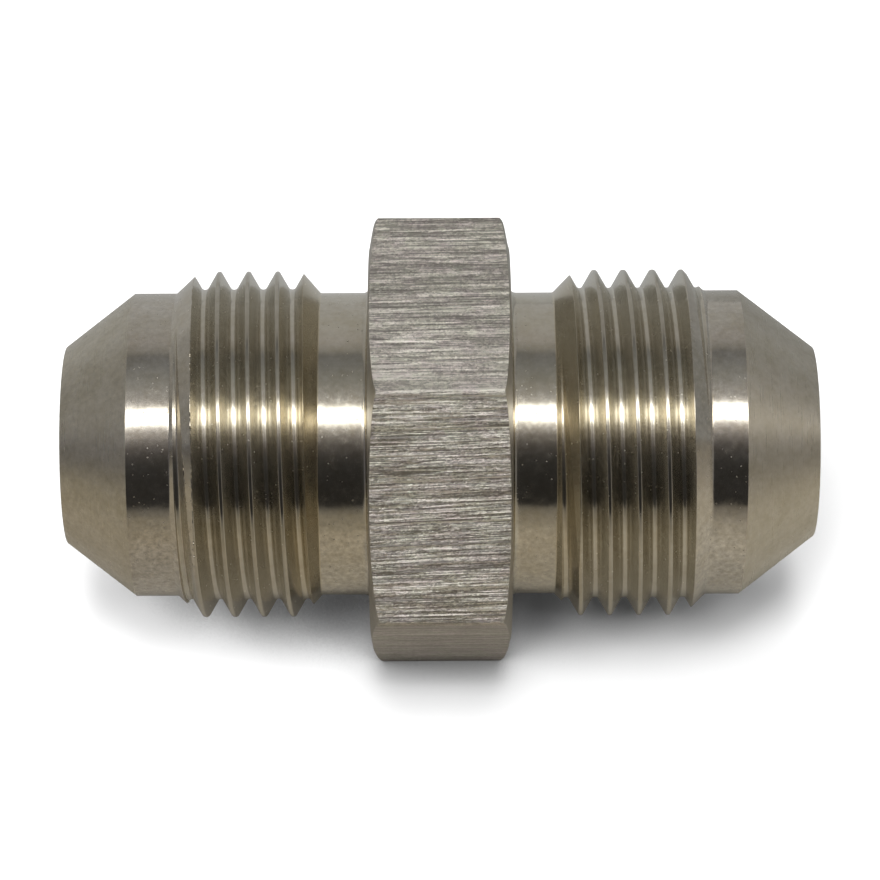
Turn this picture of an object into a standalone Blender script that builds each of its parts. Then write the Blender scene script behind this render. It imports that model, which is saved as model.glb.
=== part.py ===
"""Union adapter: a double-ended male union turned from one hexagon bar.

Frame: origin on the bore axis at mid length, +X along the bore axis, +Z up.
The union lies on one flat of its wrench hexagon, so two flats are horizontal.
Angles about the axis are measured from +Y towards +Z.
"""

import math

import bmesh
import bpy

MM = 0.001

# ---------------------------------------------------------------- dimensions
# All in millimetres. "left" is the -X end and "right" the +X end. The two ends
# are cut in separate chuckings, so their small differences are kept.

ACROSS_FLATS = 22.12          # 7/8 in drawn hexagon bar, just under nominal
CORNER_RADIUS = 0.30          # drawn corners of the bar
HEX_HALF_WIDTH = 3.81         # 0.300 in wide collar
CHAMFER_CIRCLE_R = 10.60      # where the turned chamfer leaves the face
CHAMFER_DEG = 15.0            # from the face plane
BLANK_R = 13.40               # turning radius outside the hexagon's corners

HALF_LENGTH = 20.35           # 40.7 mm over the two nose faces
BORE_R = 4.76                 # 3/8 in bore, straight through

PITCH = 1.5875                # 16 threads per inch
THREAD_R = 9.49               # 3/4 in thread, major radius
ROOT_R = 8.49                 # thread root radius
ROOT_FLAT = 0.264             # axial width of the groove's floor
FLANK_DEG = 30.0              # half of the 60 degree thread angle

FILLET_R = 0.35               # between the neck and the hexagon's face

LEFT = {
    "nose_r": 5.385,          # outer radius of the nose face
    "cone_end": 16.60,        # where the 37 degree cone meets the relief
    "relief_r": 8.27,
    "start": 14.35,           # relief meets the thread's 45 degree start
    "runout": 7.52,           # thread land meets the run-out chamfer
    "neck": 6.48,             # run-out chamfer meets the neck
    "neck_r": 8.25,
    "crest_x": -10.42,        # a crest crosses CREST_DEG at this X
}
RIGHT = {
    "nose_r": 5.175,
    "cone_end": 16.25,
    "relief_r": 8.30,
    "start": 14.32,
    "runout": 7.37,
    "neck": 6.18,
    "neck_r": 8.225,
    "crest_x": 10.02,
}
CREST_DEG = 42.2

AROUND = 48                   # facets in one turn


# ------------------------------------------------------------------- helpers

def clear_scene():
    for obj in list(bpy.data.objects):
        bpy.data.objects.remove(obj, do_unlink=True)


def new_object(name, bm):
    mesh = bpy.data.meshes.new(name)
    bm.to_mesh(mesh)
    bm.free()
    obj = bpy.data.objects.new(name, mesh)
    bpy.context.scene.collection.objects.link(obj)
    return obj


def as_cutter(obj):
    obj.hide_render = True
    obj.display_type = 'WIRE'
    return obj


def ring(bm, x, r):
    """One ring of the turned profile, at the facets' shared angles."""
    verts = []
    for i in range(AROUND):
        t = 2.0 * math.pi * i / AROUND
        verts.append(bm.verts.new((x * MM, r * math.cos(t) * MM, r * math.sin(t) * MM)))
    return verts


def end_profile(end):
    """Outer profile of one end, as (distance from the middle, radius) pairs,
    from the nose face to the chamfer circle's outside on the hexagon."""
    rise = end["relief_r"]
    start_len = THREAD_R - end["relief_r"]          # a 45 degree start
    points = [
        (HALF_LENGTH, end["nose_r"]),
        (end["cone_end"], rise),
        (end["start"], rise),
        (end["start"] - start_len, THREAD_R),
        (end["runout"], THREAD_R),
        (end["neck"], end["neck_r"]),
    ]
    # concave fillet from the neck up to the hexagon's face
    steps = 4
    for k in range(steps + 1):
        a = 0.5 * math.pi * k / steps
        points.append((HEX_HALF_WIDTH + FILLET_R * (1.0 - math.sin(a)),
                       end["neck_r"] + FILLET_R * (1.0 - math.cos(a))))
    points.append((HEX_HALF_WIDTH, CHAMFER_CIRCLE_R))
    drop = (BLANK_R - CHAMFER_CIRCLE_R) * math.tan(math.radians(CHAMFER_DEG))
    points.append((HEX_HALF_WIDTH - drop, BLANK_R))
    return points


def turned_blank():
    """The whole turned body with its bore, the collar still round."""
    profile = [(-x, r) for x, r in end_profile(LEFT)]
    profile += [(x, r) for x, r in reversed(end_profile(RIGHT))]
    profile += [(HALF_LENGTH, BORE_R), (-HALF_LENGTH, BORE_R)]
    bm = bmesh.new()
    rings = [ring(bm, x, r) for x, r in profile]
    count = len(rings)
    for k in range(count):
        a, b = rings[k], rings[(k + 1) % count]
        for i in range(AROUND):
            j = (i + 1) % AROUND
            bm.faces.new((a[i], a[j], b[j], b[i]))
    bmesh.ops.recalc_face_normals(bm, faces=bm.faces)
    return new_object("union_body", bm)


def hexagon_bar():
    """The drawn bar that the collar's flats belong to, with rounded corners."""
    half = 0.5 * ACROSS_FLATS
    corner = half / math.cos(math.radians(30.0))
    inset = CORNER_RADIUS / math.cos(math.radians(30.0))
    outline = []
    for c in range(6):
        mid = math.radians(60.0 * c)
        cy = (corner - inset) * math.cos(mid)
        cz = (corner - inset) * math.sin(mid)
        for step in range(5):
            a = mid + math.radians(-30.0 + 15.0 * step)
            outline.append((cy + CORNER_RADIUS * math.cos(a),
                            cz + CORNER_RADIUS * math.sin(a)))
    length = HALF_LENGTH + 3.0
    bm = bmesh.new()
    low = [bm.verts.new((-length * MM, y * MM, z * MM)) for y, z in outline]
    high = [bm.verts.new((length * MM, y * MM, z * MM)) for y, z in outline]
    bm.faces.new(low)
    bm.faces.new(high)
    for i in range(len(outline)):
        j = (i + 1) % len(outline)
        bm.faces.new((low[i], low[j], high[j], high[i]))
    bmesh.ops.recalc_face_normals(bm, faces=bm.faces)
    return as_cutter(new_object("hexagon_bar", bm))


def thread_groove(name, crest_x, x_low, x_high):
    """The right-hand thread's groove as one helical sweep. Its floor is outside
    the neck and the relief, so both of its ends run out in the open."""
    top_r = ROOT_R + (PITCH - ROOT_FLAT - 0.05) / (2.0 * math.tan(math.radians(FLANK_DEG)))
    root_half = 0.5 * ROOT_FLAT
    top_half = root_half + (top_r - ROOT_R) * math.tan(math.radians(FLANK_DEG))
    # centre of the groove at angle zero: half a pitch from the crest
    base = crest_x + 0.5 * PITCH - PITCH * CREST_DEG / 360.0
    first = math.ceil((x_low - base) / PITCH * AROUND)
    last = math.floor((x_high - base) / PITCH * AROUND)
    bm = bmesh.new()
    sections = []
    for step in range(first, last + 1):
        t = 2.0 * math.pi * step / AROUND
        x = base + PITCH * step / AROUND
        section = []
        for dx, r in ((-root_half, ROOT_R), (root_half, ROOT_R),
                      (top_half, top_r), (-top_half, top_r)):
            section.append(bm.verts.new(((x + dx) * MM, r * math.cos(t) * MM,
                                         r * math.sin(t) * MM)))
        sections.append(section)
    for a, b in zip(sections, sections[1:]):
        for k in range(4):
            m = (k + 1) % 4
            bm.faces.new((a[k], a[m], b[m], b[k]))
    bm.faces.new(sections[0])
    bm.faces.new(sections[-1])
    bmesh.ops.recalc_face_normals(bm, faces=bm.faces)
    return as_cutter(new_object(name, bm))


def cut(obj, name, tool, operation):
    mod = obj.modifiers.new(name, 'BOOLEAN')
    mod.operation = operation
    mod.solver = 'EXACT'
    mod.object = tool


def plated_metal():
    mat = bpy.data.materials.new("plated_metal")
    mat.use_nodes = True
    bsdf = mat.node_tree.nodes["Principled BSDF"]
    bsdf.inputs["Base Color"].default_value = (0.56, 0.53, 0.47, 1.0)
    bsdf.inputs["Metallic"].default_value = 1.0
    bsdf.inputs["Roughness"].default_value = 0.22
    mat.diffuse_color = (0.56, 0.53, 0.47, 1.0)
    return mat


# --------------------------------------------------------------------- build

def build():
    clear_scene()
    body = turned_blank()
    bar = hexagon_bar()
    left = thread_groove("left_thread_groove", LEFT["crest_x"], -15.3, -5.5)
    right = thread_groove("right_thread_groove", RIGHT["crest_x"], 5.3, 15.2)
    cut(body, "wrench_flats", bar, 'INTERSECT')
    cut(body, "left_thread", left, 'DIFFERENCE')
    cut(body, "right_thread", right, 'DIFFERENCE')
    body.data.materials.append(plated_metal())
    body.data.shade_smooth()
    body.data.set_sharp_from_angle(angle=math.radians(20.0))
    return body


build()
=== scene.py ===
import math

import bmesh
import bpy
import numpy as np
from mathutils import Matrix, Vector


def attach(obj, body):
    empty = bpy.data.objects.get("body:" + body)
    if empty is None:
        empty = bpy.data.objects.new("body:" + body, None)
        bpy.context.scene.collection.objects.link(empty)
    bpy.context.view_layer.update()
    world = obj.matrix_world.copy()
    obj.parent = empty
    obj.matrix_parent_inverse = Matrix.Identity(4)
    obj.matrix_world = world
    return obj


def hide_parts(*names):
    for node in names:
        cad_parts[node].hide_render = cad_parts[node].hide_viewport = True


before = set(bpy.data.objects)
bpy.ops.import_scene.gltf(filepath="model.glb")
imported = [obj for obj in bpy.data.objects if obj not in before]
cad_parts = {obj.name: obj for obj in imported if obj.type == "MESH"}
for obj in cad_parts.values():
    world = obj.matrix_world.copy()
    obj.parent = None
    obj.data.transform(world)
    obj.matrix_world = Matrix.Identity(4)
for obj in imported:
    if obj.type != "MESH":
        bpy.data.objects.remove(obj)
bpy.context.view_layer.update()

MM = 0.001

# ---------------------------------------------------------------- dimensions
# Millimetres. "left" is the -X end, "right" the +X end. Angles about the axis
# run from +Y towards +Z.

ACROSS_FLATS = 22.12
CORNER_RADIUS = 0.30
HEX_HALF_WIDTH = 3.81
# The collar's turned chamfer is a little convex: how far it falls back from the
# face at each radius, and how unevenly round the collar.
CHAMFER_R = (10.60, 11.00, 11.50, 12.00, 12.30, 12.55, 12.75)
CHAMFER_FALL = (0.0, 0.070, 0.158, 0.262, 0.335, 0.425, 0.545)

HALF_LENGTH = 20.35
BORE_R = 4.76

PITCH = 1.5875
THREAD_R = 9.445
ROOT_R = 8.465
CREST_HALF_FLAT = 0.092
CREST_ROUND = 0.115
ROOT_ROUND = 0.19
COT_FLANK = math.sqrt(3.0)
RUNOUT_ROUND = 0.13
RIDGE = 0.016                 # half width of the broken edge on each ridge
FILLET_R = 0.35
CREST_DEG = 42.2

# angles about the axis at the collar's corners
CORNERS = (0.0, 60.0, 120.0, 180.0, 240.0, 300.0, 360.0)
LEFT = dict(side=-1, rise=0.933, soft=0.14, fall=(1.0, 1.0, 0.93, 1.12, 1.05, 1.0, 1.0), early=0.0, nose_r=5.385, cone_end=16.60, relief_r=8.27, start=14.31,
            runout=7.52, neck=6.48, neck_r=8.25, crest_x=-10.42)
RIGHT = dict(side=1, rise=1.0, soft=0.26, fall=(1.0, 1.0, 0.76, 0.90, 1.0, 1.0, 1.0), early=0.035, nose_r=5.175, cone_end=16.25, relief_r=8.30, start=14.395,
             runout=7.37, neck=6.18, neck_r=8.225, crest_x=10.02)

LAND_ROWS = 400
PLAIN_ROWS = 200


# ------------------------------------------------------------- turned profiles

def filleted(v, r0, slope, rho):
    """Radius at v for a level line that rises from v = 0, with a fillet."""
    turn = math.atan(slope)
    reach = rho * math.tan(0.5 * turn)
    inside = np.maximum(rho * rho - (v + reach) ** 2, 0.0)
    arc = r0 + rho - np.sqrt(inside)
    line = np.where(v < 0.0, r0, r0 + slope * v)
    return np.where((v > -reach) & (v < reach * math.cos(turn)), arc, line)


def fillet_marks(slope, rho, steps=3):
    turn = math.atan(slope)
    reach = rho * math.tan(0.5 * turn)
    return [-reach + rho * math.sin(turn * s / steps) for s in range(steps + 1)]


def runout_slope(end):
    return (THREAD_R - end["neck_r"]) / (end["runout"] - end["neck"])


def blank(end, d):
    """The turned blank's radius at distance d from the middle: the relief, the
    tapered start, the run-out chamfer and the neck."""
    start = filleted(end["start"] - d, end["relief_r"], end["rise"], end["soft"])
    run = filleted(d - end["neck"], end["neck_r"], runout_slope(end), RUNOUT_ROUND)
    return np.minimum(start, run)


CREST_REACH = CREST_ROUND * math.tan(math.radians(30.0))
ROOT_REACH = ROOT_ROUND * math.tan(math.radians(30.0))
ROOT_CORNER = CREST_HALF_FLAT + (THREAD_R - ROOT_R) / COT_FLANK


def thread_form(u):
    """The thread's radius at axial distance u from a crest's middle."""
    u = np.abs((u + 0.5 * PITCH) % PITCH - 0.5 * PITCH)
    r = THREAD_R - COT_FLANK * (u - CREST_HALF_FLAT)
    c0 = CREST_HALF_FLAT - CREST_REACH
    crest = THREAD_R - CREST_ROUND + np.sqrt(np.maximum(CREST_ROUND ** 2 - (u - c0) ** 2, 0.0))
    r = np.where(u < CREST_HALF_FLAT + 0.5 * CREST_REACH, crest, r)
    r = np.where(u < c0, THREAD_R, r)
    q0 = ROOT_CORNER + ROOT_REACH
    root = ROOT_R + ROOT_ROUND - np.sqrt(np.maximum(ROOT_ROUND ** 2 - (u - q0) ** 2, 0.0))
    r = np.where(u > ROOT_CORNER - 0.5 * ROOT_REACH, root, r)
    return np.where(u > q0, ROOT_R, r)


def thread_marks():
    """Offsets from a crest's middle where the form turns, for one pitch."""
    half = [CREST_HALF_FLAT - CREST_REACH + CREST_ROUND * math.sin(math.radians(a))
            for a in (0, 20, 40, 60)]
    half += [ROOT_CORNER + ROOT_REACH - ROOT_ROUND * math.sin(math.radians(a))
             for a in (60, 40, 20, 0)]
    return [-u for u in reversed(half)] + half


def crest_at(end, t):
    """Distance from the middle to a crest at angle t: a right-hand helix."""
    return end["side"] * (end["crest_x"] + PITCH * (t - math.radians(CREST_DEG)) / (2.0 * math.pi))


def rounded(points, radii, steps=4):
    """A polyline of (d, r) points with each inner corner rounded by an arc."""
    out = [np.array(points[0], float)]
    for k in range(1, len(points) - 1):
        a, b, c = (np.array(points[k + s], float) for s in (-1, 0, 1))
        if radii[k] <= 0.0:
            out.append(b)
            continue
        u, v = (a - b) / np.linalg.norm(a - b), (c - b) / np.linalg.norm(c - b)
        half = 0.5 * math.acos(max(-1.0, min(1.0, float(u @ v))))
        reach = radii[k] / math.tan(half)
        centre = b + (u + v) / np.linalg.norm(u + v) * radii[k] / math.sin(half)
        p, q = b + u * reach - centre, b + v * reach - centre
        turn = math.atan2(p[0] * q[1] - p[1] * q[0], float(p @ q))
        for s in range(steps + 1):
            w = turn * s / steps
            out.append(centre + np.array([p[0] * math.cos(w) - p[1] * math.sin(w),
                                          p[0] * math.sin(w) + p[1] * math.cos(w)]))
    out.append(np.array(points[-1], float))
    return out


# ------------------------------------------------------------------ hexagon bar

HEX_CENTRE = (0.5 * ACROSS_FLATS - CORNER_RADIUS) / math.cos(math.radians(30.0))


def corner_angle(a):
    """Angle about the axis of the point a degrees round a corner's arc."""
    return math.degrees(math.atan2(CORNER_RADIUS * math.sin(math.radians(a)),
                                   HEX_CENTRE + CORNER_RADIUS * math.cos(math.radians(a))))


def collar_angles():
    """Rows of the collar: close together at the hexagon's corners."""
    near = [corner_angle(a) for a in (10.0, 20.0, 30.0)] + [1.0, 1.6, 2.6]
    sector = [0.0] + near + list(np.linspace(4.0, 56.0, 29)) + [60.0 - n for n in reversed(near)]
    return np.radians([60.0 * k + s for k in range(6) for s in sector])


def hexagon_radius(t):
    """Distance from the axis to the bar's surface at angle t."""
    u = np.radians(np.abs((np.degrees(t) + 30.0) % 60.0 - 30.0))
    flat = 0.5 * ACROSS_FLATS / np.cos(math.radians(30.0) - u)
    arc = HEX_CENTRE * np.cos(u) + np.sqrt(np.maximum(CORNER_RADIUS ** 2
                                                      - (HEX_CENTRE * np.sin(u)) ** 2, 0.0))
    return np.where(u <= math.radians(corner_angle(30.0)) + 1e-9, arc, flat)


def chamfer_fall(end, r, t):
    """How far the chamfer falls back from the collar's face at (r, t)."""
    share = np.interp(np.degrees(t) % 360.0, CORNERS, end["fall"])
    early = end["early"] * np.clip((r - CHAMFER_R[0]) / 0.4, 0.0, 1.0)
    return share * np.interp(r, CHAMFER_R, CHAMFER_FALL) + early


# --------------------------------------------------------------------- the mesh

ZONES = ["turned_bright", "satin_cone", "drawn_flat", "turned_face", "bore_wall", "thread",
         "chamfer"]


class Skin:
    """One closed surface, gathered ring by ring and row by row."""

    def __init__(self):
        self.co, self.normal, self.tris, self.zone = [], [], [], []

    def point(self, x, r, t, normal=None):
        self.co.append((x, r * math.cos(t), r * math.sin(t)))
        self.normal.append(normal)
        return len(self.co) - 1

    def ring(self, x, r, t):
        x, r = np.broadcast_to(x, t.shape), np.broadcast_to(r, t.shape)
        return [self.point(x[k], r[k], t[k]) for k in range(len(t))], t

    def tri(self, a, b, c, zone):
        if a != b and b != c and a != c:
            self.tris.append((a, b, c))
            self.zone.append(zone)

    def band(self, first, second, zone):
        """Triangles between two closed rings, which may differ in number."""
        (a, ta), (b, tb) = first, second
        na, nb = len(a), len(b)
        i = j = 0
        while i < na or j < nb:
            next_a = ta[i + 1] if i + 1 < na else (2.0 * math.pi + ta[0] if i < na else 1e9)
            next_b = tb[j + 1] if j + 1 < nb else (2.0 * math.pi + tb[0] if j < nb else 1e9)
            p, q = a[i % na], b[j % nb]
            if i < na and (j >= nb or next_a <= next_b):
                self.tri(p, a[(i + 1) % na], q, zone)
                i += 1
            else:
                self.tri(p, b[(j + 1) % nb], q, zone)
                j += 1

    def zip_rows(self, a, b, pairs, zone_of):
        """Triangles between two rows of a threaded land. Points that stand for
        the same mark are paired, so that no triangle crosses a ridge."""
        for (i0, j0), (i1, j1) in zip(pairs, pairs[1:]):
            i, j = i0, j0
            la = max(a[i1][0] - a[i0][0], 1e-9)
            lb = max(b[j1][0] - b[j0][0], 1e-9)
            while i < i1 or j < j1:
                fa = (a[i + 1][0] - a[i0][0]) / la if i < i1 else 9.0
                fb = (b[j + 1][0] - b[j0][0]) / lb if j < j1 else 9.0
                if i < i1 and (j >= j1 or fa <= fb):
                    corners = (a[i], a[i + 1], b[j])
                    i += 1
                else:
                    corners = (a[i], b[j + 1], b[j])
                    j += 1
                self.tri(*(c[3] for c in corners), zone_of(corners))


def land_rows(skin, end):
    """Rows of points over one threaded land. Each point is (distance from the
    middle, kind, mark, vertex); rows run outward from the neck."""
    side = end["side"]
    d_in, d_out = end["neck"] - 0.35, end["start"] + 0.28
    level = [end["start"] - v for v in fillet_marks(end["rise"], end["soft"])]
    level += [end["start"] - v for v in (0.3, 0.55, 0.8, 1.02)]
    level += [end["neck"] + v for v in fillet_marks(runout_slope(end), RUNOUT_ROUND)]
    level += [end["neck"] + v for v in (0.35, 0.62, 0.88)]
    level = np.array(sorted(level))
    level_marks = [("level", n) for n in range(len(level))]
    form = np.array(thread_marks())
    fine = np.linspace(d_in, d_out, 3600)
    on_blank = blank(end, fine)
    t_all = np.linspace(0.0, 2.0 * math.pi, LAND_ROWS, endpoint=False)
    eps = 1e-5
    rows = []
    chance = np.random.default_rng(5).random((LAND_ROWS, 4))
    for n_row, t in enumerate(t_all):
        crest = float(crest_at(end, t))
        f = on_blank - thread_form(fine - crest)
        cross = np.nonzero((f[:-1] > 0) != (f[1:] > 0))[0]
        at = fine[cross] + (fine[1] - fine[0]) * f[cross] / (f[cross] - f[cross + 1])
        d_all, kinds, marks = [d_in, d_out], ["B", "B"], [("level", -1), ("level", 99)]
        taken = []
        for n, d in enumerate(at):
            sense = 1 if f[cross[n]] > 0 else -1      # 1: thread inside, blank outside
            room = min([abs(d - o) for m, o in enumerate(at) if m != n] + [1.0])
            w = min(RIDGE, 0.15 * room)
            d_all += [d - 2.0 * w, d - w, d + w, d + 2.0 * w]
            kinds += ["T", "T", "B", "B"] if sense > 0 else ["B", "B", "T", "T"]
            marks += [("ridge", sense, m) for m in (-2, -1, 1, 2)]
            taken.append((d - 2.0 * w - 0.010, d + 2.0 * w + 0.010))
        k0, k1 = math.floor((d_in - crest) / PITCH) - 1, math.ceil((d_out - crest) / PITCH) + 1
        turns = np.arange(k0, k1 + 1)
        helix = (crest + turns[:, None] * PITCH + form[None, :]).ravel()
        helix_marks = [("helix", int(k), n) for k in turns for n in range(len(form))]
        for places, names, kind in ((level, level_marks, "B"), (helix, helix_marks, "T")):
            gap = blank(end, places) - thread_form(places - crest)
            good = (gap < 0.0) if kind == "B" else (gap > 0.0)
            good &= (places > d_in) & (places < d_out)
            for lo, hi in taken:
                good &= (places <= lo) | (places >= hi)
            for n in np.nonzero(good)[0]:
                d_all.append(float(places[n]))
                kinds.append(kind)
                marks.append(names[n])
        order = np.argsort(d_all)
        d = np.array(d_all)[order]
        thread = np.array([kinds[n] == "T" for n in order])
        r = np.where(thread, thread_form(d - crest), blank(end, d))
        slope_t = (thread_form(d + eps - crest) - thread_form(d - eps - crest)) / (2 * eps)
        slope_b = (blank(end, d + eps) - blank(end, d - eps)) / (2 * eps)
        r_d = np.where(thread, slope_t, slope_b)
        twist = np.where(thread, -slope_t * side * PITCH / (2.0 * math.pi), 0.0) / r
        cos, sin = math.cos(t), math.sin(t)
        row = []
        for n, o in enumerate(order):
            normal = Vector((-r_d[n] * side, cos + twist[n] * sin, sin - twist[n] * cos)).normalized()
            burred = marks[o][0] == "ridge" and abs(marks[o][2]) == 1 and r[n] > 8.95
            if burred and side < 0 and d[n] > end["start"] - 1.5 and chance[n_row][3] > 0.6:
                # a trace of burr glints along the first ridge
                normal = (normal + Vector(chance[n_row][:3] - 0.5) * 1.3).normalized()
            row.append((float(d[n]), kinds[o], marks[o], skin.point(side * d[n], r[n], t, normal)))
        rows.append(row)
    return rows, t_all


def pair_up(a, b, shift):
    """Pairs of places in two neighbouring rows that stand for the same mark.
    shift renumbers the crests of the second row where the turn closes."""
    where = {}
    for j, p in enumerate(b):
        mark = p[2]
        if mark[0] == "helix":
            mark = ("helix", mark[1] - shift, mark[2])
        if mark[0] != "ridge":
            where[mark] = j
    pairs = []
    for i, p in enumerate(a):
        mark = p[2]
        if mark[0] == "ridge":
            best = min(((abs(q[0] - p[0]), j) for j, q in enumerate(b) if q[2] == mark),
                       default=(9.0, 0))
            if best[0] < 0.08:
                pairs.append((i, best[1]))
        elif mark in where:
            pairs.append((i, where[mark]))
    kept = []
    for i, j in pairs:
        if not kept or (j > kept[-1][1] and i > kept[-1][0]):
            kept.append((i, j))
    return kept


def land(skin, end):
    """The threaded land's triangles; returns its outer and inner rings."""
    rows, t = land_rows(skin, end)
    count = len(rows)

    def zone_of(corners):
        if sum(c[0] for c in corners) < 3.0 * (end["runout"] + 0.25):
            out_of_neck = min(c[0] for c in corners) > end["neck"] - 0.06
            return "thread" if out_of_neck else "turned_bright"
        kinds = [c[1] for c in corners]
        return "thread" if kinds.count("T") == 3 else "turned_bright"

    for k in range(count):
        last = k == count - 1
        a, b = rows[k], rows[(k + 1) % count]
        skin.zip_rows(a, b, pair_up(a, b, end["side"] if last else 0), zone_of)
    inner = [row[0][3] for row in rows], t
    outer = [row[-1][3] for row in rows], t
    return outer, inner


def one_end(skin, end):
    """All of one end, from the bore's middle to the hexagon's near edge.
    Returns the first and the last ring."""
    side = end["side"]
    t = np.linspace(0.0, 2.0 * math.pi, PLAIN_ROWS, endpoint=False)
    add = lambda d, r: skin.ring(side * d, r, t)
    first = add(0.02, BORE_R)
    last = first
    steps = [(d, BORE_R, "bore_wall") for d in (5.0, 10.0, 15.0, 19.6)]
    steps += [(HALF_LENGTH - 0.14, BORE_R, "bore_wall"),
              (HALF_LENGTH - 0.105, BORE_R + 0.015, "turned_face"),
              (HALF_LENGTH - 0.02, BORE_R + 0.085, "turned_face")]
    outer = rounded([(HALF_LENGTH, BORE_R + 0.12), (HALF_LENGTH, end["nose_r"]),
                     (end["cone_end"], end["relief_r"]), (end["start"] + 0.5, end["relief_r"])],
                    [0.0, 0.06, 0.05, 0.0])
    for k, (d, r) in enumerate(outer):
        if k == 6:
            far, near = np.array((d, r)), np.array(outer[5])
            for s in (0.03, 0.2, 0.4, 0.6, 0.8, 0.97):
                steps.append((*(near + (far - near) * s), "satin_cone"))
        zone = "turned_face" if k <= 3 else "satin_cone" if k <= 8 else "turned_bright"
        if k == len(outer) - 1:
            steps.append((end["cone_end"] - 0.25, end["relief_r"], zone))
            steps.append((0.5 * (end["cone_end"] + end["start"]), end["relief_r"], zone))
        steps.append((d, r, zone))
    for d, r, zone in steps:
        here = add(d, r)
        skin.band(last, here, zone)
        last = here
    land_outer, land_inner = land(skin, end)
    skin.band(last, land_outer, "turned_bright")

    t = collar_angles()
    hexr = hexagon_radius(t)
    last = land_inner
    inner = rounded([(end["neck"] - 0.5, end["neck_r"]), (HEX_HALF_WIDTH, end["neck_r"]),
                     (HEX_HALF_WIDTH, CHAMFER_R[0])], [0.0, FILLET_R, 0.0], steps=7)
    steps = [(d, r, "turned_bright") for d, r in inner[:-1]]
    steps.insert(1, (0.5 * (end["neck"] - 0.5 + HEX_HALF_WIDTH + FILLET_R), end["neck_r"], "turned_bright"))
    steps += [(HEX_HALF_WIDTH, r, "turned_face") for r in (8.75, 9.6, 10.4, CHAMFER_R[0])]
    # the turned chamfer, then a small rounded edge on to the drawn flats
    soft = 0.03
    at = lambda r: (HEX_HALF_WIDTH - chamfer_fall(end, r, t), r)
    for s in (0.12, 0.3, 0.5, 0.7, 0.85, 0.95):
        steps.append((*at(CHAMFER_R[0] + (hexr - CHAMFER_R[0]) * s), "chamfer"))
    edge, p1 = at(hexr)[0], at(hexr - soft)
    p2 = (edge - soft, hexr)
    steps.append((*p1, "chamfer"))
    for s in (0.35, 0.7, 1.0):
        steps.append(((1 - s) ** 2 * p1[0] + 2 * s * (1 - s) * edge + s * s * p2[0],
                      (1 - s) ** 2 * p1[1] + 2 * s * (1 - s) * hexr + s * s * p2[1],
                      "chamfer" if s < 0.5 else "drawn_flat"))
    for d, r, zone in steps:
        here = skin.ring(side * d, r, t)
        skin.band(last, here, zone)
        last = here
    return first, last, p2[0] * side


def body_mesh():
    """The whole union as one closed mesh."""
    skin = Skin()
    bore_l, edge_l, x_l = one_end(skin, LEFT)
    bore_r, edge_r, x_r = one_end(skin, RIGHT)
    t = collar_angles()
    hexr = hexagon_radius(t)
    last = edge_l
    for s in (0.1, 0.3, 0.5, 0.7, 0.9):
        here = skin.ring(x_l + (x_r - x_l) * s, hexr, t)
        skin.band(last, here, "drawn_flat")
        last = here
    skin.band(last, edge_r, "drawn_flat")
    skin.band(bore_l, bore_r, "bore_wall")

    co = np.array(skin.co)
    tris = np.array(skin.tris)
    # the two ends were walked in opposite senses: turn each triangle outward
    # by the walk that made it, which the shared edges decide
    tris = face_outward(co, tris)
    zone = np.array([ZONES.index(z) for z in skin.zone])

    face_n = np.cross(co[tris[:, 1]] - co[tris[:, 0]], co[tris[:, 2]] - co[tris[:, 0]])
    normals = np.zeros_like(co)
    for k in range(3):
        np.add.at(normals, tris[:, k], face_n)
    for k, n in enumerate(skin.normal):
        if n is not None:
            normals[k] = n
    normals /= np.maximum(np.linalg.norm(normals, axis=1, keepdims=True), 1e-12)

    mesh = bpy.data.meshes.new("union_surface")
    mesh.vertices.add(len(co))
    mesh.vertices.foreach_set("co", (co * MM).astype(np.float32).ravel())
    mesh.loops.add(len(tris) * 3)
    mesh.loops.foreach_set("vertex_index", tris.astype(np.int32).ravel())
    mesh.polygons.add(len(tris))
    mesh.polygons.foreach_set("loop_start", (np.arange(len(tris)) * 3).astype(np.int32))
    mesh.polygons.foreach_set("material_index", zone.astype(np.int32))
    mesh.update(calc_edges=True)
    mesh.shade_smooth()
    mesh.normals_split_custom_set_from_vertices(normals.tolist())
    mesh.update()
    return mesh


def face_outward(co, tris):
    """Each triangle wound so that its normal leaves the metal. Near the axis
    that is inward; elsewhere it is outward or along the axis away from the
    metal. The winding is made consistent across shared edges, and all of it
    turned over if the enclosed volume comes out negative."""
    bm = bmesh.new()
    verts = [bm.verts.new(c) for c in co]
    faces = [bm.faces.new((verts[a], verts[b], verts[c])) for a, b, c in tris]
    bmesh.ops.recalc_face_normals(bm, faces=bm.faces)
    bm.verts.index_update()
    out = np.array([[v.index for v in f.verts] for f in faces])
    volume = bm.calc_volume(signed=True)
    bm.free()
    return out if volume > 0 else out[:, ::-1].copy()


# ------------------------------------------------------------------ materials

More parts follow.
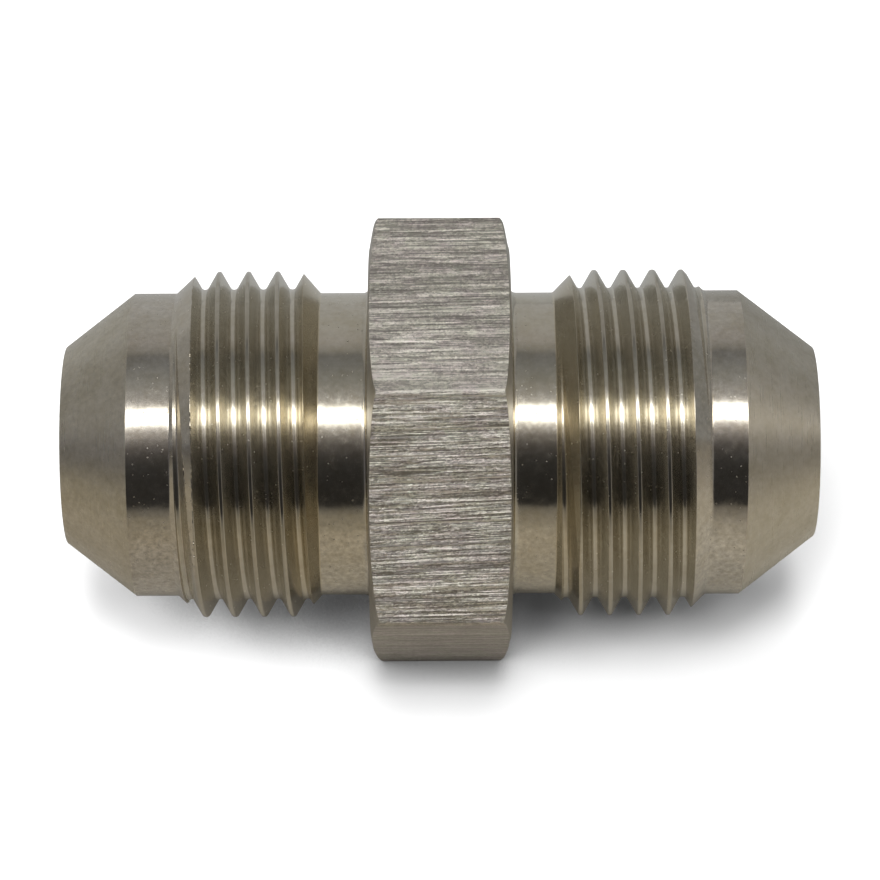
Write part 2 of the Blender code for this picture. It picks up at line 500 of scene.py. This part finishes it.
class Net:
    """Short calls for building one material's nodes."""

    def __init__(self, tree):
        self.tree = tree
        self.nodes = tree.nodes
        self.links = tree.links

    def put(self, socket, value):
        if isinstance(value, bpy.types.NodeSocket):
            self.links.new(value, socket)
        elif value is not None:
            socket.default_value = value

    def node(self, kind, **props):
        made = self.nodes.new(kind)
        for k, v in props.items():
            setattr(made, k, v)
        return made

    def math(self, op, a, b=None, c=None, clamp=False):
        made = self.node("ShaderNodeMath", operation=op, use_clamp=clamp)
        for k, v in enumerate((a, b, c)):
            self.put(made.inputs[k], v)
        return made.outputs[0]

    def vec(self, op, a, b=None):
        made = self.node("ShaderNodeVectorMath", operation=op)
        self.put(made.inputs[0], a)
        self.put(made.inputs[1], b)
        return made.outputs["Value"] if op in ("LENGTH", "DOT_PRODUCT") else made.outputs[0]

    def split(self, v):
        made = self.node("ShaderNodeSeparateXYZ")
        self.put(made.inputs[0], v)
        return made.outputs

    def join(self, x, y, z):
        made = self.node("ShaderNodeCombineXYZ")
        for k, v in enumerate((x, y, z)):
            self.put(made.inputs[k], v)
        return made.outputs[0]

    def noise(self, v, scale=1.0, detail=2.0, rough=0.5, dims="3D", lac=2.0):
        made = self.node("ShaderNodeTexNoise", noise_dimensions=dims)
        self.put(made.inputs["Vector"], v)
        made.inputs["Scale"].default_value = scale
        made.inputs["Detail"].default_value = detail
        made.inputs["Roughness"].default_value = rough
        made.inputs["Lacunarity"].default_value = lac
        return made.outputs["Fac"]

    def spread(self, v, lo, hi, to_lo=0.0, to_hi=1.0, smooth=False):
        made = self.node("ShaderNodeMapRange", clamp=True)
        if smooth:
            made.interpolation_type = "SMOOTHSTEP"
        for k, x in enumerate((v, lo, hi, to_lo, to_hi)):
            self.put(made.inputs[k], x)
        return made.outputs[0]

    def mix(self, fac, a, b):
        made = self.node("ShaderNodeMix", data_type="RGBA")
        self.put(made.inputs["Factor"], fac)
        self.put(made.inputs[6], a)
        self.put(made.inputs[7], b)
        return made.outputs[2]

    def ramp(self, v, stops):
        made = self.node("ShaderNodeValToRGB")
        self.put(made.inputs[0], v)
        el = made.color_ramp.elements
        while len(el) > 1:
            el.remove(el[-1])
        el[0].position = stops[0][0]
        el[0].color = tuple(stops[0][1]) + (1.0,)
        for pos, col in stops[1:]:
            e = el.new(pos)
            e.color = tuple(col) + (1.0,)
        return made.outputs[0]

    def bump(self, height, distance, strength=1.0, normal=None):
        made = self.node("ShaderNodeBump")
        made.inputs["Strength"].default_value = strength
        made.inputs["Distance"].default_value = distance
        self.put(made.inputs["Height"], height)
        self.put(made.inputs["Normal"], normal)
        return made.outputs[0]


def metal(name):
    mat = bpy.data.materials.new(name)
    mat.use_nodes = True
    net = Net(mat.node_tree)
    net.nodes.clear()
    out = net.node("ShaderNodeOutputMaterial")
    bsdf = net.node("ShaderNodeBsdfPrincipled")
    net.links.new(bsdf.outputs[0], out.inputs[0])
    bsdf.inputs["Metallic"].default_value = 1.0
    where = net.node("ShaderNodeTexCoord").outputs["Object"]
    mm = net.vec("SCALE", where)
    mm.node.inputs["Scale"].default_value = 1000.0
    return mat, net, bsdf, mm


def around(net, mm):
    """(distance along the axis, angle about it in radians, radius)"""
    x, y, z = net.split(mm)
    angle = net.math("ARCTAN2", z, y)
    radius = net.math("SQRT", net.math("ADD", net.math("MULTIPLY", y, y), net.math("MULTIPLY", z, z)))
    return x, angle, radius


def mottled(net, mm, colour, amount):
    """A colour with fine, irregular light and dark in it."""
    grain = net.noise(net.vec("ADD", mm, (3.0, 17.0, 9.0)), 3.3, 3.0, 0.72)
    grain = net.math("MULTIPLY", net.math("SUBTRACT", grain, 0.5), amount)
    level = net.math("ADD", 1.0, grain)
    scaled = net.vec("SCALE", colour)
    net.put(scaled.node.inputs["Scale"], level)
    return scaled


def specks(net, mm, density, size, share):
    """Scattered small pits: 1 in the middle of a pit, 0 between them."""
    made = net.node("ShaderNodeTexVoronoi", voronoi_dimensions="3D", feature="F1")
    net.put(made.inputs["Vector"], mm)
    made.inputs["Scale"].default_value = density
    made.inputs["Randomness"].default_value = 1.0
    pit = net.spread(made.outputs["Distance"], 0.5 * size, size, 1.0, 0.0)
    chance = net.split(made.outputs["Color"])[0]
    found = net.math("GREATER_THAN", chance, 1.0 - share)
    return net.math("MULTIPLY", net.math("MULTIPLY", pit, found), net.spread(chance, 1.0 - share, 1.0, 0.4, 1.0))


def plated(net, mm, low, mid, high):
    """The plate's colour, with slow stains and finer clouds."""
    stain = net.noise(mm, 0.9, 4.0, 0.62)
    cloud = net.noise(net.vec("ADD", mm, (31.0, 7.0, 3.0)), 3.2, 3.0, 0.55)
    mixed = net.math("ADD", net.math("MULTIPLY", stain, 0.6), net.math("MULTIPLY", cloud, 0.4))
    return net.ramp(mixed, [(0.38, low), (0.5, mid), (0.62, high)]), cloud


def turned_bright():
    """Bright plated turning: faint rings, stains, dull patches and tiny pits."""
    mat, net, bsdf, mm = metal("turned_bright")
    x, angle, radius = around(net, mm)
    col, cloud = plated(net, mm, (0.585, 0.540, 0.445), (0.622, 0.582, 0.498), (0.655, 0.618, 0.540))
    pits = specks(net, mm, 3.9, 0.22, 0.27)
    # the side that faces down and forward is the more stained
    low = net.spread(net.split(mm)[2], 1.2, 3.6, net.spread(x, -6.0, 5.0, 1.50, 1.20),
                     net.spread(net.math("ABSOLUTE", x), 7.0, 13.5, 0.24, 0.52))
    cool = net.join(1.0, 1.0, net.spread(net.math("ABSOLUTE", x), 8.0, 14.5, 1.0, 1.035))
    col = mottled(net, mm, net.vec("MULTIPLY", col, cool), low)
    dulled = net.vec("SCALE", col)
    net.put(dulled.node.inputs["Scale"], net.math("SUBTRACT", 1.0, net.math("MULTIPLY", pits, 0.25)))
    net.put(bsdf.inputs["Base Color"], dulled)
    rings = net.noise(net.join(net.math("MULTIPLY", x, 24.0), net.math("MULTIPLY", angle, 0.6), 0.0), 1.0, 2.0, 0.6)
    patch = net.spread(net.noise(net.vec("ADD", mm, (9.0, 4.0, 1.0)), 1.7, 4.0, 0.68), 0.50, 0.68, 0.0, 0.075)
    rough = net.math("ADD", net.math("ADD", net.spread(cloud, 0.3, 0.75, 0.10, 0.15), patch),
                     net.math("MULTIPLY", pits, 0.50))
    net.put(bsdf.inputs["Roughness"], rough)
    height = net.math("SUBTRACT", net.math("MULTIPLY", rings, 0.25), net.math("MULTIPLY", pits, 0.6))
    net.put(bsdf.inputs["Normal"], net.bump(height, 1.5e-6, 0.6))
    return mat


def thread():
    """Thread: bright crests and roots; the flanks get a darker base colour, a painted shade of the grooves."""
    mat, net, bsdf, mm = metal("thread")
    x, angle, radius = around(net, mm)
    bright, cloud = plated(net, mm, (0.585, 0.545, 0.455), (0.628, 0.590, 0.508), (0.655, 0.620, 0.545))
    shape = net.node("ShaderNodeTexCoord").outputs["Normal"]
    nx, ny, nz = net.split(shape)
    flank = net.spread(net.math("ABSOLUTE", nx), 0.50, 0.78, 0.0, 1.0, smooth=True)
    # the left thread's first groove is still shallow: its flanks get no painted shade and stay as bright as its start
    shallow = net.spread(x, -13.55, -13.4, 1.0, 0.0)
    # painted shade: the flanks' base colour is darker than the crests'
    flank_shade_colour = net.ramp(cloud, [(0.35, (0.522, 0.490, 0.416)), (0.65, (0.572, 0.543, 0.472))])
    worn = net.vec("SCALE", bright)
    net.put(worn.node.inputs["Scale"], net.spread(radius, 9.20, 9.38, 1.0, 0.86))
    pits = specks(net, mm, 3.6, 0.19, 0.16)
    flank_shade_mask = net.math("MULTIPLY", flank, net.spread(shallow, 0.0, 1.0, 1.0, 0.0))
    plate = net.mix(flank_shade_mask, worn, flank_shade_colour)
    # the plate is yellower on the run-outs beside the necks
    runout = net.spread(net.math("ABSOLUTE", x), 7.35, 7.75, 1.0, 0.0)
    plate = net.mix(net.math("MULTIPLY", runout, net.spread(x, -1.0, 1.0, 1.0, 0.6)), plate,
                    net.vec("MULTIPLY", plate, (1.03, 0.985, 0.885)))
    col = mottled(net, mm, plate, 0.22)
    net.put(bsdf.inputs["Base Color"], col)
    rough = net.math("ADD", net.spread(cloud, 0.3, 0.75, 0.11, 0.16), net.math("MULTIPLY", flank, 0.070))
    rough = net.math("ADD", rough, net.math("MULTIPLY", net.math("MULTIPLY", shallow, flank), 0.10))
    net.put(bsdf.inputs["Roughness"], net.math("ADD", rough, net.math("MULTIPLY", pits, 0.34)))
    # the tool's fine lines follow the helix
    chatter = net.noise(net.join(net.math("MULTIPLY", angle, 1.5), net.math("MULTIPLY", radius, 16.0),
                                 net.math("MULTIPLY", x, 1.5)), 1.0, 2.0, 0.6)
    net.put(bsdf.inputs["Normal"], net.bump(net.math("SUBTRACT", chatter, pits), 2.5e-6, 0.8))
    return mat


def satin_cone():
    """Sealing cone: satin and stained, with faint rings left by the tool."""
    mat, net, bsdf, mm = metal("satin_cone")
    x, angle, radius = around(net, mm)
    col, cloud = plated(net, mm, (0.560, 0.520, 0.432), (0.608, 0.570, 0.490), (0.645, 0.609, 0.537))
    pits = specks(net, mm, 2.6, 0.17, 0.35)
    col = mottled(net, mm, col, net.spread(x, -16.0, 16.0, 0.58, 0.28))
    dulled = net.vec("SCALE", col)
    net.put(dulled.node.inputs["Scale"], net.math("SUBTRACT", 1.0, net.math("MULTIPLY", pits, 0.16)))
    net.put(bsdf.inputs["Base Color"], dulled)
    rings = net.noise(net.join(net.math("MULTIPLY", x, 13.0), net.math("MULTIPLY", angle, 1.6), 0.0), 1.0, 3.0, 0.65)
    net.put(bsdf.inputs["Roughness"], net.math("ADD", net.spread(rings, 0.3, 0.7, 0.26, 0.33),
                                               net.math("MULTIPLY", pits, 0.2)))
    grain = net.noise(mm, 6.0, 2.0, 0.6)
    height = net.math("ADD", net.math("MULTIPLY", rings, 0.55), net.math("MULTIPLY", grain, 0.7))
    net.put(bsdf.inputs["Normal"], net.bump(height, 4.0e-6, 0.8))
    return mat


def turned_face():
    """Faces square to the axis: concentric tool marks."""
    mat, net, bsdf, mm = metal("turned_face")
    x, angle, radius = around(net, mm)
    col, cloud = plated(net, mm, (0.545, 0.508, 0.428), (0.590, 0.553, 0.475), (0.620, 0.585, 0.510))
    net.put(bsdf.inputs["Base Color"], col)
    rings = net.noise(net.join(net.math("MULTIPLY", radius, 14.0), net.math("MULTIPLY", angle, 0.5), 0.0), 1.0, 3.0, 0.6)
    net.put(bsdf.inputs["Roughness"], net.spread(rings, 0.3, 0.7, 0.20, 0.32))
    net.put(bsdf.inputs["Normal"], net.bump(rings, 6.0e-6, 0.8))
    return mat


def chamfer():
    """The collar's turned chamfer: dull, with coarse rings."""
    mat, net, bsdf, mm = metal("chamfer")
    x, angle, radius = around(net, mm)
    col, cloud = plated(net, mm, (0.430, 0.408, 0.368), (0.480, 0.458, 0.415), (0.530, 0.508, 0.462))
    net.put(bsdf.inputs["Base Color"], col)
    rings = net.noise(net.join(net.math("MULTIPLY", radius, 11.0), net.math("MULTIPLY", angle, 1.2), 0.0), 1.0, 3.0, 0.6)
    net.put(bsdf.inputs["Roughness"], net.spread(rings, 0.3, 0.7, 0.36, 0.48))
    net.put(bsdf.inputs["Normal"], net.bump(rings, 8.0e-6, 0.8))
    return mat


def bore_wall():
    """Drilled and reamed bore: faint spiral marks and a duller plate."""
    mat, net, bsdf, mm = metal("bore_wall")
    x, angle, radius = around(net, mm)
    col, cloud = plated(net, mm, (0.480, 0.445, 0.370), (0.545, 0.508, 0.430), (0.590, 0.552, 0.472))
    net.put(bsdf.inputs["Base Color"], col)
    spiral = net.math("ADD", net.math("MULTIPLY", x, 7.0), net.math("MULTIPLY", angle, 0.5))
    marks = net.noise(net.join(spiral, 0.0, 0.0), 1.0, 3.0, 0.6)
    net.put(bsdf.inputs["Roughness"], net.spread(marks, 0.3, 0.7, 0.26, 0.40))
    net.put(bsdf.inputs["Normal"], net.bump(marks, 5.0e-6, 0.8))
    return mat


def drawn_flat():
    """Hexagon flats: dense fine scratches along the bar, a few degrees off its
    axis. They scatter light across the bar far more than along it."""
    mat, net, bsdf, mm = metal("drawn_flat")
    x, y, z = net.split(mm)
    # the scratches run a little across the flats: a slow twist about the axis
    pitch = net.math("MULTIPLY", net.spread(z, 0.0, 4.5, 0.0012, 0.0042), net.spread(z, 6.0, 10.6, 1.0, 0.35))
    turn = net.node("ShaderNodeVectorRotate", rotation_type="X_AXIS")
    net.put(turn.inputs["Vector"], mm)
    net.put(turn.inputs["Angle"], net.math("MULTIPLY", x, pitch))
    v = turn.outputs[0]

    def place(offset, along, across):
        return net.vec("MULTIPLY", net.vec("ADD", v, offset), (along, 0.55 * across, across))

    def dashes(offset, along, across):
        """Three random numbers for each straight scratch; scratches per
        millimetre along the bar and across it."""
        made = net.node("ShaderNodeTexVoronoi", voronoi_dimensions="3D", feature="F1")
        net.put(made.inputs["Vector"], place(offset, along, across))
        made.inputs["Scale"].default_value = 1.0
        made.inputs["Randomness"].default_value = 1.0
        return net.split(made.outputs["Color"])

    def centred(value, gain):
        return net.math("MULTIPLY", net.math("SUBTRACT", value, 0.5), gain)

    def total(*parts):
        out = parts[0]
        for part in parts[1:]:
            out = net.math("ADD", out, part)
        return out

    long = dashes((0, 0, 0), 0.15, 16.0)
    medium = dashes((5, 3, 9), 0.50, 18.0)
    short = dashes((2, 8, 4), 2.5, 19.0)
    dots = dashes((4, 6, 1), 8.0, 18.0)
    scars = dashes((9, 1, 3), 0.16, 9.0)
    glint = net.math("MULTIPLY", net.math("GREATER_THAN", medium[1], 0.93), 0.28)
    scar = net.math("MULTIPLY", net.math("GREATER_THAN", scars[0], 0.93), -0.22)
    slow = net.noise(place((7, 1, 2), 0.2, 1.6), 1.0, 2.0, 0.5)
    # the lower flats are smoother, and the uppermost a little
    lower = net.spread(z, -0.9, -0.2, 0.42, 1.0)
    upper = net.spread(z, 10.3, 10.9)
    tone = total(centred(long[0], 0.38), centred(medium[0], 0.36), centred(short[0], 0.24), centred(dots[0], 0.34),
                 centred(slow, 0.30), glint, scar)
    tone = net.math("MULTIPLY", tone, net.math("MULTIPLY", lower, net.spread(upper, 0.0, 1.0, 1.0, 0.66)))
    # painted light and shade: the flats' base tone changes with height, darkest at the foot of the upper side flats
    # and lightest near their top, and across the top flat it runs from light in front to dark behind
    base = net.spread(z, 1.0, 7.0, net.spread(z, -0.6, 0.6, 0.470, 0.428), 0.495)
    top = net.spread(y, -6.4, 6.4, 0.515, 0.410)
    tone = net.math("ADD", net.spread(upper, 0.0, 1.0, base, top), tone)
    plate = net.ramp(tone, [(0.28, (0.365, 0.344, 0.319)), (0.42, (0.525, 0.496, 0.460)),
                            (0.50, (0.640, 0.604, 0.562)), (0.60, (0.825, 0.785, 0.731)),
                            (0.74, (1.000, 0.965, 0.902))])
    patch = net.noise(net.vec("MULTIPLY", mm, (0.8, 1.4, 1.4)), 1.0, 3.0, 0.6)
    tint = net.ramp(patch, [(0.36, (1.0, 0.966, 0.992)), (0.62, (0.982, 1.0, 0.962))])
    # painted shade: the lower flats' colour is darker in red and green, a cooler grey
    low = net.mix(net.spread(z, -0.9, -0.2), (0.93, 0.96, 1.03, 1.0), (1.0, 1.0, 1.0, 1.0))
    for layer in (tint, low):
        mul = net.node("ShaderNodeMix", data_type="RGBA", blend_type="MULTIPLY")
        mul.inputs["Factor"].default_value = 1.0
        net.put(mul.inputs[6], plate)
        net.put(mul.inputs[7], layer)
        plate = mul.outputs[2]
    net.put(bsdf.inputs["Base Color"], plate)
    # each scratch's wall leans across the bar
    lean = total(centred(long[2], 1.2), centred(medium[2], 1.0), centred(short[2], 0.6), centred(dots[2], 0.7))
    lean = net.math("MULTIPLY", lean, net.math("MULTIPLY", lower, net.spread(upper, 0.0, 1.0, 1.0, 0.5)))
    shape = net.node("ShaderNodeNewGeometry").outputs["Normal"]
    across = net.vec("CROSS_PRODUCT", shape, (1.0, 0.0, 0.0))
    leaned = net.vec("SCALE", across)
    net.put(leaned.node.inputs["Scale"], lean)
    net.put(bsdf.inputs["Normal"], net.vec("NORMALIZE", net.vec("ADD", shape, leaned)))
    net.put(bsdf.inputs["Tangent"], net.vec("NORMALIZE", across))
    bsdf.inputs["Roughness"].default_value = 0.46
    bsdf.inputs["Anisotropic"].default_value = 0.8
    return mat


# ----------------------------------------------------------------- the object

mesh = body_mesh()
makers = {"turned_bright": turned_bright, "satin_cone": satin_cone, "drawn_flat": drawn_flat,
          "turned_face": turned_face, "bore_wall": bore_wall, "thread": thread, "chamfer": chamfer}
for zone in ZONES:
    mesh.materials.append(makers[zone]())
body = bpy.data.objects.new("union_surface", mesh)
bpy.context.scene.collection.objects.link(body)
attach(body, "root")
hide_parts("union_body")
body.visible_diffuse = False


# --------------------------------------------------------------------- studio

REST_Z = -0.5 * ACROSS_FLATS * MM
TABLE_LEVEL = 1.459           # the unshadowed table's brightness from the lamps
SHADED = 0.85                 # share of the table's reflected tone that takes shadow


def white_floor():
    """A plain pale table to the camera. The metal reflects a painted tone of it
    instead: dimmer, warm in front and neutral behind, graded by distance and
    side, partly glowing and partly lit by the lamps."""
    mesh = bpy.data.meshes.new("floor")
    s = 1.5
    z = REST_Z - 2e-6
    mesh.from_pydata([(-s, -s, z), (s, -s, z), (s, s, z), (-s, s, z)], [], [(0, 1, 2, 3)])
    mesh.update()
    obj = bpy.data.objects.new("floor", mesh)
    bpy.context.scene.collection.objects.link(obj)
    mat = bpy.data.materials.new("white_table")
    mat.use_nodes = True
    net = Net(mat.node_tree)
    net.nodes.clear()
    out = net.node("ShaderNodeOutputMaterial")
    add = net.node("ShaderNodeAddShader")
    diff = net.node("ShaderNodeBsdfDiffuse")
    painted_glow = net.node("ShaderNodeEmission")
    net.links.new(diff.outputs[0], add.inputs[0])
    net.links.new(painted_glow.outputs[0], add.inputs[1])
    net.links.new(add.outputs[0], out.inputs[0])
    where = net.node("ShaderNodeTexCoord").outputs["Object"]
    x, y, z = net.split(where)
    # painted reflection: the table's tone for the metal is graded by distance from the part and differs left, right,
    # in front and behind
    far = net.vec("LENGTH", net.vec("MULTIPLY", where, (1.0, 1.0, 0.0)))
    middle = net.ramp(far, [(0.006, (0.430, 0.400, 0.345)), (0.014, (0.470, 0.425, 0.345)),
                            (0.020, (0.455, 0.405, 0.320)), (0.032, (0.435, 0.384, 0.300)),
                            (0.047, (0.335, 0.300, 0.233)), (0.064, (0.290, 0.258, 0.203)),
                            (0.128, (0.250, 0.226, 0.180)), (0.400, (0.100, 0.092, 0.078))])
    left = net.ramp(far, [(0.018, (0.385, 0.360, 0.315)), (0.026, (0.355, 0.322, 0.268)),
                          (0.034, (0.385, 0.342, 0.270)), (0.048, (0.315, 0.282, 0.222)),
                          (0.090, (0.285, 0.257, 0.203)), (0.125, (0.215, 0.199, 0.170)),
                          (0.400, (0.095, 0.090, 0.082))])
    right = net.ramp(far, [(0.018, (0.450, 0.425, 0.368)), (0.026, (0.510, 0.475, 0.405)),
                           (0.034, (0.500, 0.464, 0.390)), (0.048, (0.435, 0.400, 0.330)),
                           (0.075, (0.330, 0.303, 0.256)), (0.125, (0.255, 0.235, 0.200)),
                           (0.250, (0.225, 0.205, 0.172)), (0.500, (0.130, 0.120, 0.104))])
    front = net.mix(net.spread(x, -0.016, -0.003, 1.0, 0.0), middle, left)
    front = net.mix(net.spread(x, 0.003, 0.016), front, right)
    apart = net.vec("SCALE", front)
    net.put(apart.node.inputs["Scale"], net.spread(net.math("ABSOLUTE", x), 0.025, 0.060, 1.0, 1.2))
    front = apart
    behind = net.ramp(net.spread(x, -0.060, 0.060),
                      [(0.0, (0.425, 0.420, 0.400)), (0.36, (0.440, 0.440, 0.430)), (0.48, (0.490, 0.492, 0.485)),
                       (0.53, (0.480, 0.485, 0.480)), (0.68, (0.345, 0.348, 0.335)), (1.0, (0.300, 0.300, 0.292))])
    tone = net.mix(net.spread(y, -0.004, 0.03, smooth=True), front, behind)
    camera = net.node("ShaderNodeLightPath").outputs["Is Camera Ray"]
    # painted contact shadow: ambient occlusion darkens the table's colour, as seen and as reflected, where the part is
    # close above it; deepest left of the middle, and under and beside the collar
    wide = net.node("ShaderNodeAmbientOcclusion", samples=4)
    wide.inputs["Distance"].default_value = 0.009
    close = net.node("ShaderNodeAmbientOcclusion", samples=4)
    close.inputs["Distance"].default_value = 0.0022
    beside = net.spread(net.math("ABSOLUTE", x), 0.0034, 0.0046, 0.50, 1.0)
    under = net.spread(x, -0.002, 0.0064, 0.13, 0.75)
    painted_shadow = net.math("MULTIPLY", net.spread(wide.outputs["AO"], 0.125, 0.235, under, 1.0),
                     net.spread(close.outputs["AO"], 0.38, 0.80, beside, 1.0))
    tone = net.vec("SCALE", tone)
    net.put(tone.node.inputs["Scale"], painted_shadow)
    white = net.vec("SCALE", (0.9, 0.9, 0.9))
    net.put(white.node.inputs["Scale"], painted_shadow)
    lit = net.vec("SCALE", tone)
    lit.node.inputs["Scale"].default_value = SHADED * 0.9 / TABLE_LEVEL
    net.put(diff.inputs["Color"], net.mix(camera, lit, white))
    # painted glow: for all but camera rays the table emits part of its tone, though it is no lamp
    net.put(painted_glow.inputs["Color"], tone)
    net.put(painted_glow.inputs["Strength"], net.math("MULTIPLY", net.math("SUBTRACT", 1.0, camera), 1.0 - SHADED))
    obj.data.materials.append(mat)
    return obj


def studio_world():
    """What the metal reflects: a bright strip overhead towards the camera, a
    dark room in front, a pale wall behind and grey sides."""
    world = bpy.data.worlds.new("studio")
    bpy.context.scene.world = world
    world.use_nodes = True
    net = Net(world.node_tree)
    net.nodes.clear()
    out = net.node("ShaderNodeOutputWorld")
    back = net.node("ShaderNodeBackground")
    direction = net.node("ShaderNodeTexCoord").outputs["Generated"]
    x, y, z = net.split(direction)
    # 0 at the front horizon, 0.5 overhead, 1 at the back horizon
    alpha = net.math("DIVIDE", net.math("ARCTAN2", net.math("MAXIMUM", z, 0.0),
                                        net.math("MULTIPLY", y, -1.0)), math.pi)
    # the strip isn't quite parallel to the union
    aslant = net.math("MINIMUM", net.math("MAXIMUM", x, -0.08), 0.08)
    alpha = net.math("SUBTRACT", alpha, net.math("MULTIPLY", aslant, 0.095))
    peak = 5.0

    def tones(*stops):
        return [(a / 180.0, (r / peak, g / peak, b / peak)) for a, r, g, b in stops]

    across = net.ramp(alpha, tones(
        (0, 0.023, 0.022, 0.021), (25, 0.024, 0.023, 0.022), (34, 0.032, 0.031, 0.030),
        (40, 0.048, 0.045, 0.044), (46, 0.082, 0.076, 0.074), (52, 0.165, 0.155, 0.148),
        (57, 0.32, 0.30, 0.285), (60.5, 0.52, 0.50, 0.48), (63, 1.3, 1.27, 1.22),
        (66, 4.4, 4.4, 4.25), (70, 5.0, 5.0, 4.85), (73.5, 4.6, 4.6, 4.45), (76.5, 1.3, 1.27, 1.22),
        (79, 0.62, 0.605, 0.585), (84, 0.40, 0.39, 0.375), (90, 0.335, 0.33, 0.315), (96, 0.28, 0.28, 0.267),
        (103, 0.24, 0.24, 0.23),
        (110, 0.212, 0.214, 0.212), (119.0, 0.175, 0.175, 0.174), (121, 0.24, 0.235, 0.22),
        (124, 0.33, 0.32, 0.30), (133, 0.43, 0.415, 0.40), (150, 0.445, 0.438, 0.415),
        (180, 0.45, 0.45, 0.445)))
    # how the room changes a little to the left and right
    nearby = net.ramp(alpha, [(a / 180.0, (v, v, v)) for a, v in (
        (0, 0.75), (45, 0.80), (57, 0.85), (65, 0.50), (78, 0.42), (88, 0.58), (104, 0.56), (119, 0.50),
        (123, 0.43), (140, 0.42), (165, 0.46), (175, 0.5))])
    level = net.mix(net.spread(net.math("ABSOLUTE", x), 0.015, 0.07), (0.5, 0.5, 0.5, 1.0), nearby)
    shaped = net.node("ShaderNodeMix", data_type="RGBA", blend_type="MULTIPLY")
    shaped.inputs["Factor"].default_value = 1.0
    net.put(shaped.inputs[6], across)
    doubled = net.vec("SCALE", level)
    doubled.node.inputs["Scale"].default_value = 2.0
    net.put(shaped.inputs[7], doubled)
    across = shaped.outputs[2]
    left = net.ramp(alpha, tones(
        (0, 0.118, 0.118, 0.128), (48, 0.148, 0.144, 0.156), (80, 0.185, 0.186, 0.196), (105, 0.245, 0.240, 0.238),
        (122, 0.250, 0.245, 0.238), (140, 0.250, 0.245, 0.232), (156, 0.30, 0.292, 0.275), (168, 0.305, 0.296, 0.275),
        (178, 0.310, 0.305, 0.290)))
    right = net.ramp(alpha, tones(
        (0, 0.232, 0.226, 0.220), (38, 0.225, 0.215, 0.207), (62, 0.270, 0.258, 0.248), (80, 0.315, 0.303, 0.293), (98, 0.318, 0.308, 0.298),
        (120, 0.330, 0.318, 0.304), (145, 0.325, 0.318, 0.308), (156, 0.285, 0.283, 0.272), (166, 0.258, 0.258, 0.245),
        (176, 0.240, 0.242, 0.232)))
    sides = net.mix(net.spread(x, -0.2, 0.2), left, right)
    reach = net.spread(net.math("ABSOLUTE", x), 0.55, 0.85, 0.0, 1.0, smooth=True)
    # the strip's own far ends are dimmer
    ends = net.ramp(alpha, tones((64, 0, 0, 0), (69.5, 4.7, 4.35, 3.65), (79, 4.7, 4.35, 3.65), (92, 0, 0, 0)))
    fade = net.spread(net.math("ABSOLUTE", x), net.spread(x, -0.1, 0.1, 0.80, 0.85),
                      net.spread(x, -0.1, 0.1, 0.885, 0.97), 1.0, 0.0)
    tips = net.vec("SCALE", ends)
    net.put(tips.node.inputs["Scale"], net.math("MULTIPLY", fade, reach))
    bright = net.vec("SCALE", net.vec("ADD", net.mix(reach, across, sides), tips))
    bright.node.inputs["Scale"].default_value = peak
    camera = net.node("ShaderNodeLightPath").outputs["Is Camera Ray"]
    net.put(back.inputs["Color"], net.mix(camera, bright, (1.0, 1.0, 1.0, 1.0)))
    net.links.new(back.outputs[0], out.inputs[0])
    world.cycles_visibility.diffuse = False


def lamp(azimuth, elevation, weight):
    """A large soft lamp that lights the table. Azimuth 0 is the camera's side
    and 90 the right. The metal doesn't mirror it: the studio does that."""
    data = bpy.data.lights.new("soft_lamp", "SUN")
    data.energy = weight * math.pi / 0.9
    data.angle = math.radians(22.0)
    obj = bpy.data.objects.new("soft_lamp", data)
    a, e = math.radians(azimuth), math.radians(elevation)
    towards = Vector((math.sin(a) * math.cos(e), -math.cos(a) * math.cos(e), math.sin(e)))
    obj.rotation_euler = (-towards).to_track_quat("-Z", "Y").to_euler()
    bpy.context.scene.collection.objects.link(obj)
    obj.visible_glossy = False


white_floor()
studio_world()
for azimuth, elevation, weight in ((0, 75, 0.483), (330, 55, 0.402), (225, 15, 0.399),
                                   (30, 55, 0.237), (270, 35, 0.224), (180, 55, 0.222),
                                   (270, 15, 0.216)):
    lamp(azimuth, elevation, weight)


# --------------------------------------------------------------------- camera

ELEVATION = math.radians(47.87)
ROLL = math.radians(0.29)
DISTANCE = 0.218
PIXELS_PER_MM = 18.266
OFFSET = (0.0074 * MM, -0.175 * MM)

cam_data = bpy.data.cameras.new("camera")
cam_data.sensor_width = 36.0
cam_data.sensor_fit = "HORIZONTAL"
cam_data.lens = PIXELS_PER_MM * (DISTANCE / MM) / 880.0 * 36.0
cam_data.clip_start = 0.01
cam_data.clip_end = 10.0
cam_data.dof.use_dof = False
camera = bpy.data.objects.new("camera", cam_data)
bpy.context.scene.collection.objects.link(camera)
up = Vector((0.0, math.sin(ELEVATION), math.cos(ELEVATION)))
back = Vector((0.0, -math.cos(ELEVATION), math.sin(ELEVATION)))
right = Vector((1.0, 0.0, 0.0))
cam_right = math.cos(ROLL) * right - math.sin(ROLL) * up
cam_up = math.sin(ROLL) * right + math.cos(ROLL) * up
turn = Matrix((cam_right, cam_up, back)).transposed().to_4x4()
turn.translation = back * DISTANCE - cam_right * OFFSET[0] - cam_up * OFFSET[1]
camera.matrix_world = turn
bpy.context.scene.camera = camera

bpy.context.scene.view_settings.view_transform = "Standard"
bpy.context.scene.view_settings.look = "None"
bpy.context.scene.view_settings.exposure = 0.0
bpy.context.scene.view_settings.gamma = 1.0
